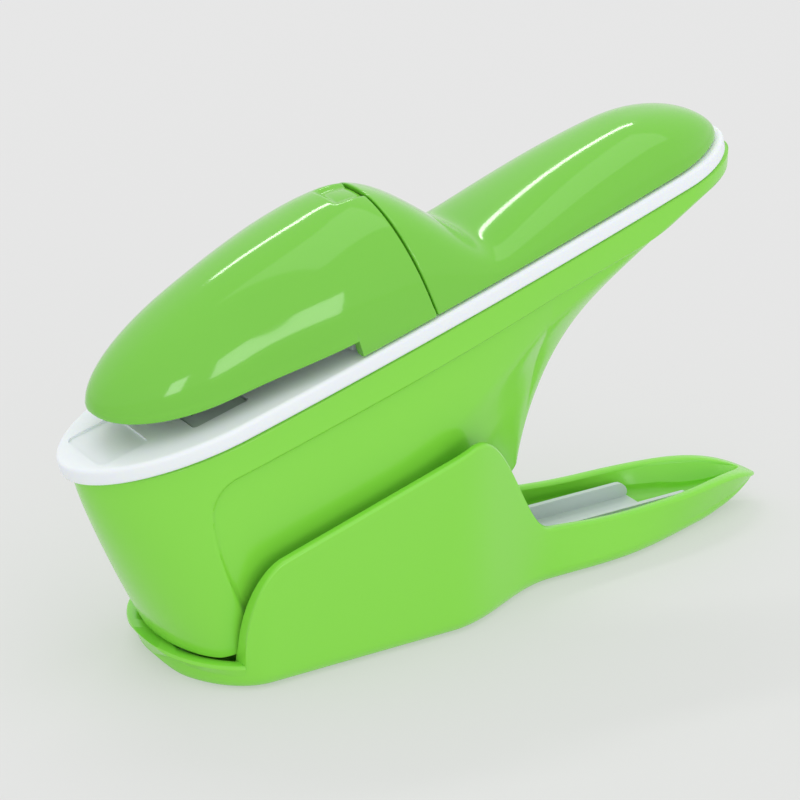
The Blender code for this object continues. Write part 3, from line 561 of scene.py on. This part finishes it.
@dataclass
class LowerHousing:
    """Hull under the plate: a raised band at the top and stem, and a set-back flank behind them."""

    finish: bpy.types.Material
    wall: float = 1.6
    gap: float = 0.3
    half_width: float = 12.9
    front_top_x: float = -54.9
    front_bottom_x: float = -44.3
    rear_x: float = 13.5
    rear_sweep: float = 37.0
    rear_decay: float = 0.305
    rim_share: float = 0.066
    keel_z: float = 4.1
    keel_x: float = -40.0
    keel_slope: float = 0.2217
    nose_rise: float = 1.0
    tuck: float = 1.5
    aft_loss: float = 5.0
    nose_length: float = 20.6
    nose_shorter: float = 12.6
    tail_length: float = 11.0
    tail_longer: float = 19.0
    tail_depth: float = 0.62
    band_depth: float = 4.1
    panel_depth: float = 0.6
    panel_corner: float = 4.0
    panel_step: float = 0.7

    def front(self, v: np.ndarray) -> np.ndarray:
        """World x of the stem at depth share v, a gentle power curve."""
        return self.front_top_x + (self.front_bottom_x - self.front_top_x) * v**1.5

    def rear(self, v: np.ndarray) -> np.ndarray:
        """World x of the rear edge: it sweeps forward under the tail as an exponential."""
        drop = np.clip(v - self.rim_share, 0.0, None)
        return self.rear_x + self.rear_sweep * np.exp(-drop / self.rear_decay)

    def keel(self, x: np.ndarray) -> np.ndarray:
        """Height of the lower edge: it climbs to the rear and turns up at the stem."""
        climb = np.clip(x - self.keel_x, 0.0, None) * self.keel_slope
        return self.keel_z + climb + self.nose_rise * (np.clip(self.keel_x - x, 0.0, None) / 8.0) ** 3

    def breadth(self, x: np.ndarray, v: np.ndarray) -> np.ndarray:
        """Half-width before the rounded ends, the plate's own at the top."""
        top = DECK.taper((x - DECK.nose_x) / math.cos(DECK.tilt)) - 0.4
        body = self.half_width - self.aft_loss * np.clip((x + 15.0) / 30.0, 0.0, 1.0) ** 2
        tuck = self.tuck * easing((v - 0.6) / 0.4) * easing((x + 42.0) / 12.0)
        return top + (body - top) * easing(v / 0.5) - tuck

    def panel_edge(self, z: np.ndarray) -> np.ndarray:
        """World x of the set-back flank's front edge: it moves aft as a power of the drop."""
        return -41.2 + 4.36 * (np.clip(25.0 - z, 0.0, None) / 15.0) ** 1.6

    def set_back(self, x: np.ndarray, z: np.ndarray, top: np.ndarray) -> np.ndarray:
        """How far the flank is set back: a step all along a line with one rounded corner."""
        below = (top - z) * math.cos(DECK.tilt) - self.band_depth
        behind = x - self.panel_edge(z)
        corner = self.panel_corner
        reach = corner - np.hypot(np.clip(corner - below, 0.0, None), np.clip(corner - behind, 0.0, None))
        return self.panel_depth * easing(reach / self.panel_step)

    def grid(self, wall: float, v: np.ndarray, along: int) -> np.ndarray:
        """Loops round the hull, from the plate down; wall draws them inside by that much."""
        share = (1.0 - np.cos(np.linspace(0.0, math.pi, along + 1))) / 2.0
        share = np.concatenate([share, share[-2:0:-1]])[None, :]
        side = np.concatenate([-np.ones(along + 1), np.ones(along - 1)])[None, :]
        low, high = self.front(v) + wall, self.rear(v) - wall
        x = low + (high - low) * share
        nose_length = self.nose_length - self.nose_shorter * v**1.2
        tail_length = self.tail_length + self.tail_longer * easing(v / self.tail_depth)
        ends = closing((x - low) / nose_length, 2.0) * closing((high - x) / tail_length, 2.0)
        top = DECK.height_over(x, -DECK.thickness - self.gap)
        z = top + (self.keel(x) - top) * v
        breadth = self.breadth(x, v) - wall
        if wall == 0.0:
            breadth = breadth - self.set_back(x, z, top)
        return np.stack(np.broadcast_arrays(x, side * breadth * ends, z), -1)

    def build(self) -> None:
        """Make the hull with fine rows over the step of its band and a rounded lower edge."""
        v = np.concatenate([[0.0, 0.01, 0.03, 0.05], np.linspace(self.rim_share, 0.19, 60),
                            np.linspace(0.19, 1.0, 110)[1:]])[:, None]
        outer = self.grid(0.0, v, 230)
        lip = self.grid(0.5, v[-1:] + 0.008, 230)
        inner = self.grid(self.wall, np.linspace(1.0, 0.0, 50)[:, None], 230)
        loops = np.concatenate([outer, lip, inner])
        hull = tube_of_loops("lower_housing_skin", loops, False, False)
        self.close_top(hull)
        finish_piece(hull, self.finish, Body.HOUSING, Slot.BODY_GREEN, "lower_housing")

    def close_top(self, hull: bpy.types.Object) -> None:
        """Join the first and last loops, the wall's upper face under the plate."""
        work = bmesh.new()
        work.from_mesh(hull.data)
        open_edges = [e for e in work.edges if e.is_boundary]
        bmesh.ops.bridge_loops(work, edges=open_edges)
        bmesh.ops.recalc_face_normals(work, faces=work.faces)
        work.to_mesh(hull.data)
        work.free()


# ---------------------------------------------------------------- squeeze lever


@dataclass
class SqueezeLever:
    """Toe, side wings and boat-shaped tail in one moulding."""

    finish: bpy.types.Material
    toe_x: float = -46.0
    tail_x: float = 59.2
    wall: float = 1.5
    floor: float = 2.2
    corner: float = 2.2
    toe_length: float = 12.0
    toe_rake: float = 1.4
    wing_half: float = 16.0
    tail_half: float = 9.4
    tumblehome: float = 1.1
    flare: float = 0.36
    wing_front_x: float = -38.2
    wing_front_z: float = 16.8
    wing_slope: float = 0.30
    ear_x: float = -2.0
    ear_length: float = 18.0
    lip_z: float = 3.8
    tip_z: float = 4.05
    sheer_z: float = 7.15
    sheer_rise: float = 1.3
    toe_turn: float = 3.0
    tip_turn_x: float = 46.0
    tip_drop_x: float = 44.0
    edge: float = 0.5

    def waist(self, x: np.ndarray) -> np.ndarray:
        """Width share: full at the wings, narrow along the tail, closed at the tip."""
        narrow = 1.0 - (1.0 - self.tail_half / self.wing_half) * easing((x + 5.0) / 21.0)
        return narrow * closing((self.tail_x - x) / 36.0, 1.7)

    def rim_half(self, x: np.ndarray) -> np.ndarray:
        """Half-width at the rim, leaning in a little behind the wings."""
        lean = self.tumblehome * easing((x - 8.0) / 14.0) * (1.0 - easing((x - 24.0) / 24.0))
        return self.wing_half * closing((x - self.toe_x) / self.toe_length, 2.0) * self.waist(x) - lean

    def foot_half(self, x: np.ndarray) -> np.ndarray:
        """Half-width where the side meets the lower edge, drawn in at the toe and the tip."""
        toe = closing((x - self.toe_x - self.toe_rake) / (self.toe_length - self.toe_rake), 2.0)
        share = 1.0 - self.flare * easing((x - 28.0) / 30.0)
        return self.wing_half * toe * self.waist(x) * share

    def tail_rim(self, x: np.ndarray) -> np.ndarray:
        """Rim height of the tail trough: a shallow parabola, then a cubic drop to the tip."""
        fore = self.sheer_z + self.sheer_rise * (np.clip(32.0 - x, 0.0, None) / 16.0) ** 2
        aft = np.clip(x - self.tip_drop_x, 0.0, None) / (self.tail_x - self.tip_drop_x)
        return fore - (self.sheer_z - self.tip_z) * aft**3

    def rim(self, x: np.ndarray) -> np.ndarray:
        """Rim height: toe lip, a steep rounded wing front, the wing's slope, then the tail's sheer."""
        wing = self.wing_front_z + self.wing_slope * (x - self.wing_front_x)
        rise = closing((x - self.wing_front_x) / 6.0, 2.2)
        fall = easing((x - self.ear_x) / self.ear_length)
        sheer = self.tail_rim(np.clip(x, self.ear_x, None))
        return np.where(x < self.ear_x, self.lip_z + (wing - self.lip_z) * rise, wing + (sheer - wing) * fall)

    def keel(self, x: np.ndarray) -> np.ndarray:
        """Underside height: flat, turned up to the lip at the toe and to the tip at the tail."""
        toe = self.lip_z * (np.clip(self.toe_x + self.toe_turn - x, 0.0, None) / self.toe_turn) ** 2
        tip = np.clip(x - self.tip_turn_x, 0.0, None) / (self.tail_x - self.tip_turn_x)
        return toe + self.tip_z * tip**2.2

    def stations(self, inside: bool) -> np.ndarray:
        """Stations, dense at the tips and at the wing's steep front."""
        wall = self.wall if inside else 0.0
        low, high = self.toe_x + wall, self.tail_x - 1.2 * wall
        steep = self.wing_front_x + 8.0 * np.linspace(0.0, 1.0, 90)[1:] ** 1.8
        return np.concatenate([end_spaced(low, self.wing_front_x, 60), steep,
                               end_spaced(self.wing_front_x + 8.0, high, 230)[1:]])

    def rows(self, inside: bool) -> np.ndarray:
        """Section rows from the near rim down the side, round the corner and over the flat floor.

        Each half row is a rounded rim edge, a straight side, a quarter circle and a straight floor.

        Args:
            inside: True for the wall's inner face.

        Returns:
            World millimetre points, one row per station.
        """
        wall = self.wall if inside else 0.0
        floor = self.floor if inside else 0.0
        x = self.stations(inside)
        source = self.toe_x + (self.tail_x - self.toe_x) * (x - x[0]) / (x[-1] - x[0])
        top = np.clip(self.rim_half(source) - wall, 0.0, None)
        foot = np.minimum(np.clip(self.foot_half(source) - wall, 0.0, None), 1.3 * top)
        rim = self.rim(x)
        keel = np.minimum(self.keel(source) + floor, rim)
        edge = np.minimum(self.edge, np.minimum(0.3 * top, 0.3 * (rim - keel)))
        corner = np.minimum(np.minimum(self.corner, 0.6 * foot), 0.6 * (rim - keel))
        top, foot, rim, keel, edge, corner = (a[:, None] for a in (top, foot, rim, keel, edge, corner))
        inward = -1.0 if inside else 1.0
        roll = np.radians(np.array([85.0, 65.0, 45.0, 25.0, 8.0]))[None, :]
        down = np.linspace(0.0, 1.0, 24)[None, :]
        turn = np.linspace(0.0, math.pi / 2.0, 14)[None, 1:]
        flat = np.linspace(1.0, 0.0, 12)[None, 1:]
        low = keel + corner
        y = np.concatenate([top - inward * edge * (1.0 - np.cos(roll)), top + (foot - top) * down,
                            foot - corner * (1.0 - np.cos(turn)), (foot - corner) * flat], 1)
        z = np.concatenate([rim - edge * (1.0 - np.sin(roll)), rim - edge + (low - rim + edge) * down,
                            low - corner * np.sin(turn), keel + 0.0 * flat], 1)
        y = np.concatenate([-y, y[:, -2::-1]], 1)
        z = np.concatenate([z, z[:, -2::-1]], 1)
        return np.stack(np.broadcast_arrays(x[:, None], y, z), -1)

    def build(self) -> None:
        """Make the lever as one closed skin."""
        loops = shell_sections(self.rows(False), self.rows(True))
        skin = tube_of_loops("squeeze_lever_skin", loops, False, False)
        finish_piece(skin, self.finish, Body.LEVER, Slot.BODY_GREEN, "squeeze_lever")


# ---------------------------------------------------------------- mechanism


@dataclass
class Mechanism:
    """CAD meshes that keep their shape and get their real finishes."""

    nodes: dict[str, bpy.types.Object]
    acetal: bpy.types.Material
    sheet: bpy.types.Material
    tool: bpy.types.Material
    bright: bpy.types.Material

    def build(self) -> None:
        """Paint each carried-over node."""
        groups = {
            "acetal": ("punch_guide", "head_core", "punch_carriage", "lever_channel", "push_roller"),
            "tool": ("die_plate", "tongue_punch", "slit_knife"),
            "sheet": ("tucker_finger", "cover_catch", "mechanism_frame", "drive_rocker"),
            "bright": ("tucker_pin", "main_pivot_pin", "roller_pin", "rocker_pin", "return_spring",
                       "guide_post_front", "guide_post_rear", "core_screw_left", "core_screw_right",
                       "rear_cover_screw", "channel_screw_front", "channel_screw_rear"),
        }
        for finish, names in groups.items():
            for name in names:
                mesh = self.nodes[name].data
                mesh.materials.clear()
                mesh.materials.append(getattr(self, finish))


# ---------------------------------------------------------------- studio


@dataclass(frozen=True)
class Softbox:
    """One rectangular lamp, placed by direction and distance from the object."""

    name: str
    azimuth: float
    elevation: float
    distance: float
    width: float
    height: float
    power: float
    roll: float = 0.0

    def build(self, target: Vector) -> None:
        """Area lamp that faces the target."""
        lamp = bpy.data.lights.new(self.name, "AREA")
        lamp.shape = "RECTANGLE"
        lamp.size = self.width
        lamp.size_y = self.height
        lamp.energy = self.power
        made = bpy.data.objects.new(self.name, lamp)
        a, e = math.radians(self.azimuth), math.radians(self.elevation)
        toward = Vector((math.cos(a) * math.cos(e), math.sin(a) * math.cos(e), math.sin(e)))
        roll = Matrix.Rotation(math.radians(self.roll), 3, "Z").to_quaternion()
        turn = toward.to_track_quat("Z", "Y") @ roll
        made.matrix_world = Matrix.Translation(target + toward * self.distance) @ turn.to_matrix().to_4x4()
        bpy.context.scene.collection.objects.link(made)


@dataclass
class Studio:
    """Pale floor, soft surround, lamps and the camera."""

    azimuth: float = -32.33
    elevation: float = 26.0
    distance: float = 0.4545
    lens: float = 141.2
    aim_right: float = -0.0039
    aim_up: float = 0.0249
    origin_z: float = 0.002
    surround: float = 0.88
    floor_half: float = 4.0
    floor_reflects: float = 0.38
    floor_glow: float = 0.38

    def directions(self) -> tuple[Vector, Vector, Vector]:
        """Right, up and backward directions of the viewing angle."""
        a, e = math.radians(self.azimuth), math.radians(self.elevation)
        right = Vector((math.cos(a), math.sin(a), 0.0))
        up = Vector((-math.sin(a) * math.sin(e), math.cos(a) * math.sin(e), math.cos(e)))
        back = Vector((math.sin(a) * math.cos(e), -math.cos(a) * math.cos(e), math.sin(e)))
        return right, up, back

    def camera(self) -> None:
        """Long-lens camera that looks at the middle of the object."""
        right, up, back = self.directions()
        origin = Vector((0.0, 0.0, self.origin_z))
        place = origin + back * self.distance
        aim = origin + right * self.aim_right + up * self.aim_up
        data = bpy.data.cameras.new("camera")
        data.lens = self.lens
        data.clip_start = 0.01
        made = bpy.data.objects.new("camera", data)
        made.location = place
        made.rotation_euler = (aim - place).to_track_quat("-Z", "Y").to_euler()
        bpy.context.scene.collection.objects.link(made)
        bpy.context.scene.camera = made

    def floor(self) -> None:
        """Matt pale floor without a horizon in view, lit a little from below like a light table."""
        half = self.floor_half / MM
        points = np.array([(-half, -half, 0.0), (half, -half, 0.0), (half, half, 0.0), (-half, half, 0.0)])
        made = link_mesh("floor", points, [(0, 1, 2, 3)])
        paint = bpy.data.materials.new("matt floor")
        paint.use_nodes = True
        shader = paint.node_tree.nodes["Principled BSDF"]
        shader.inputs["Base Color"].default_value = (self.floor_reflects,) * 3 + (1.0,)
        shader.inputs["Emission Color"].default_value = (1.0, 1.0, 1.0, 1.0)
        shader.inputs["Emission Strength"].default_value = self.floor_glow
        shader.inputs["Roughness"].default_value = 1.0
        shader.inputs["Specular IOR Level"].default_value = 0.0
        made.data.materials.append(paint)

    def build(self) -> None:
        """Set the surround, the lamps, the floor and the camera."""
        world = bpy.data.worlds.new("surround")
        world.use_nodes = True
        world.node_tree.nodes["Background"].inputs["Strength"].default_value = self.surround
        world.node_tree.nodes["Background"].inputs["Color"].default_value = (1.0, 1.0, 1.0, 1.0)
        bpy.context.scene.world = world
        bpy.context.scene.view_settings.view_transform = "Standard"
        target = Vector((0.0, 0.0, 0.03))
        for lamp in LAMPS:
            lamp.build(target)
        self.floor()
        self.camera()


LAMPS = (
    Softbox("overhead sheet", -60.0, 72.0, 1.2, 0.9, 0.9, 1.6),
    Softbox("side panel", -83.0, 8.0, 0.9, 0.28, 0.25, 0.6),
    Softbox("nose panel", -113.0, 8.0, 0.9, 0.16, 0.25, 0.4),
    Softbox("back strip", 80.0, 54.0, 1.0, 0.60, 0.07, 1.3),
)


# ---------------------------------------------------------------- assembly


def main() -> None:
    """Build every skin, paint the mechanism and set the studio."""
    logging.basicConfig(level=logging.INFO)
    polished = POLISHED_ABS.build()
    semi_gloss = SEMI_GLOSS_ABS.build()
    UpperJaw(polished).build()
    TablePlate(SATIN_WHITE_ABS.build()).build()
    LowerHousing(semi_gloss).build()
    SqueezeLever(semi_gloss).build()
    Mechanism(frame["nodes"], GREY_ACETAL.build(), ZINC_SHEET.build(), TOOL_STEEL.build(),
              BRIGHT_STEEL.build()).build()
    Studio().build()


if __name__ == "__main__":
    main()
